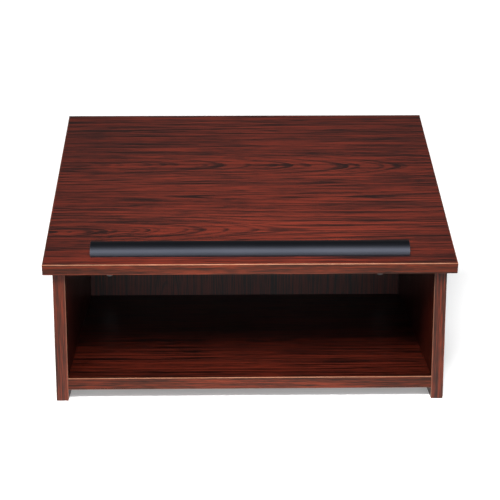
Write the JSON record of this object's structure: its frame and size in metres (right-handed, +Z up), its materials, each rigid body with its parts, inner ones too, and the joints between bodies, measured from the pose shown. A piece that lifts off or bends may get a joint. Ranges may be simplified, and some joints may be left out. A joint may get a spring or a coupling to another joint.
{
  "type": "tabletop lectern",
  "caption": "Tabletop lectern in dark red wood-grain board: slanted reading top with a half-round book stop, over an open-fronted shelf box on side panels, held by cam locks.",
  "frame": {"origin": "on the ground under the middle of the object's bounding box", "axes": "+X to the user's right along the longest side, +Y from the user to the back, +Z up"},
  "size_m": [0.53, 0.4142, 0.3091],
  "materials": {
    "top_laminate": "mahogany wood-grain laminate, grain across, satin",
    "side_laminate": "mahogany wood-grain laminate, grain upright, satin",
    "shelf_laminate": "mahogany wood-grain laminate, grain across, semi-gloss",
    "back_laminate": "mahogany wood-grain laminate, grain upright, semi-gloss",
    "edge_band": "wood-grain plastic edge band, rounded arrises",
    "stop_aluminium": "dark blue-black satin coated extrusion",
    "plug_plastic": "moulded black plastic",
    "cam_zinc": "bright die-cast zinc, cast grain and turned rim",
    "bolt_steel": "zinc-plated steel",
    "screw_steel": "zinc-plated steel",
    "beech": "fluted beech dowel"
  },
  "bodies": {
    "carcass": {"top_board": "top_laminate", "top_front_band": "edge_band", "top_rear_band": "edge_band", "top_left_band": "edge_band", "top_right_band": "edge_band", "left_side": "side_laminate", "left_front_band": "edge_band", "left_rear_band": "edge_band", "left_foot_band": "edge_band", "right_side": "side_laminate", "right_front_band": "edge_band", "right_rear_band": "edge_band", "right_foot_band": "edge_band", "shelf": "shelf_laminate", "shelf_front_band": "edge_band", "back_panel": "back_laminate", "back_foot_band": "edge_band", "book_stop": "stop_aluminium", "stop_left_plug": "plug_plastic", "stop_right_plug": "plug_plastic", "stop_screws": "screw_steel", "top_bolts": "bolt_steel", "back_bolts": "bolt_steel", "shelf_bolts": "bolt_steel", "top_dowels": "beech", "back_dowels": "beech", "shelf_dowels": "beech", "shelf_rear_dowels": "beech"},
    "cam_top_left_front": {"cam_top_left_front": "cam_zinc"},
    "cam_top_left_rear": {"cam_top_left_rear": "cam_zinc"},
    "cam_top_right_front": {"cam_top_right_front": "cam_zinc"},
    "cam_top_right_rear": {"cam_top_right_rear": "cam_zinc"},
    "cam_back_left_low": {"cam_back_left_low": "cam_zinc"},
    "cam_back_left_high": {"cam_back_left_high": "cam_zinc"},
    "cam_back_right_low": {"cam_back_right_low": "cam_zinc"},
    "cam_back_right_high": {"cam_back_right_high": "cam_zinc"},
    "cam_shelf_left_front": {"cam_shelf_left_front": "cam_zinc"},
    "cam_shelf_left_rear": {"cam_shelf_left_rear": "cam_zinc"},
    "cam_shelf_right_front": {"cam_shelf_right_front": "cam_zinc"},
    "cam_shelf_right_rear": {"cam_shelf_right_rear": "cam_zinc"}
  },
  "joints": [
    {"name": "top_left_front_turn", "type": "hinge", "parent": "carcass", "child": "cam_top_left_front", "pos_m": [-0.238, -0.12276, 0.16789], "axis": [1, 0, 0], "range_deg": [0, 180]},
    {"name": "top_left_rear_turn", "type": "hinge", "parent": "carcass", "child": "cam_top_left_rear", "pos_m": [-0.238, 0.15301, 0.24801], "axis": [1, 0, 0], "range_deg": [0, 180]},
    {"name": "top_right_front_turn", "type": "hinge", "parent": "carcass", "child": "cam_top_right_front", "pos_m": [0.238, -0.12276, 0.16789], "axis": [-1, 0, 0], "range_deg": [0, 180]},
    {"name": "top_right_rear_turn", "type": "hinge", "parent": "carcass", "child": "cam_top_right_rear", "pos_m": [0.238, 0.15301, 0.24801], "axis": [-1, 0, 0], "range_deg": [0, 180]},
    {"name": "back_left_low_turn", "type": "hinge", "parent": "carcass", "child": "cam_back_left_low", "pos_m": [-0.209, 0.18653, 0.069], "axis": [0, -1, 0], "range_deg": [0, 180]},
    {"name": "back_left_high_turn", "type": "hinge", "parent": "carcass", "child": "cam_back_left_high", "pos_m": [-0.209, 0.18653, 0.24227], "axis": [0, -1, 0], "range_deg": [0, 180]},
    {"name": "back_right_low_turn", "type": "hinge", "parent": "carcass", "child": "cam_back_right_low", "pos_m": [0.209, 0.18653, 0.069], "axis": [0, -1, 0], "range_deg": [0, 180]},
    {"name": "back_right_high_turn", "type": "hinge", "parent": "carcass", "child": "cam_back_right_high", "pos_m": [0.209, 0.18653, 0.24227], "axis": [0, -1, 0], "range_deg": [0, 180]},
    {"name": "shelf_left_front_turn", "type": "hinge", "parent": "carcass", "child": "cam_shelf_left_front", "pos_m": [-0.209, -0.14047, 0.015], "axis": [0, 0, -1], "range_deg": [0, 180]},
    {"name": "shelf_left_rear_turn", "type": "hinge", "parent": "carcass", "child": "cam_shelf_left_rear", "pos_m": [-0.209, 0.13853, 0.015], "axis": [0, 0, -1], "range_deg": [0, 180]},
    {"name": "shelf_right_front_turn", "type": "hinge", "parent": "carcass", "child": "cam_shelf_right_front", "pos_m": [0.209, -0.14047, 0.015], "axis": [0, 0, -1], "range_deg": [0, 180]},
    {"name": "shelf_right_rear_turn", "type": "hinge", "parent": "carcass", "child": "cam_shelf_right_rear", "pos_m": [0.209, 0.13853, 0.015], "axis": [0, 0, -1], "range_deg": [0, 180]}
  ]
}
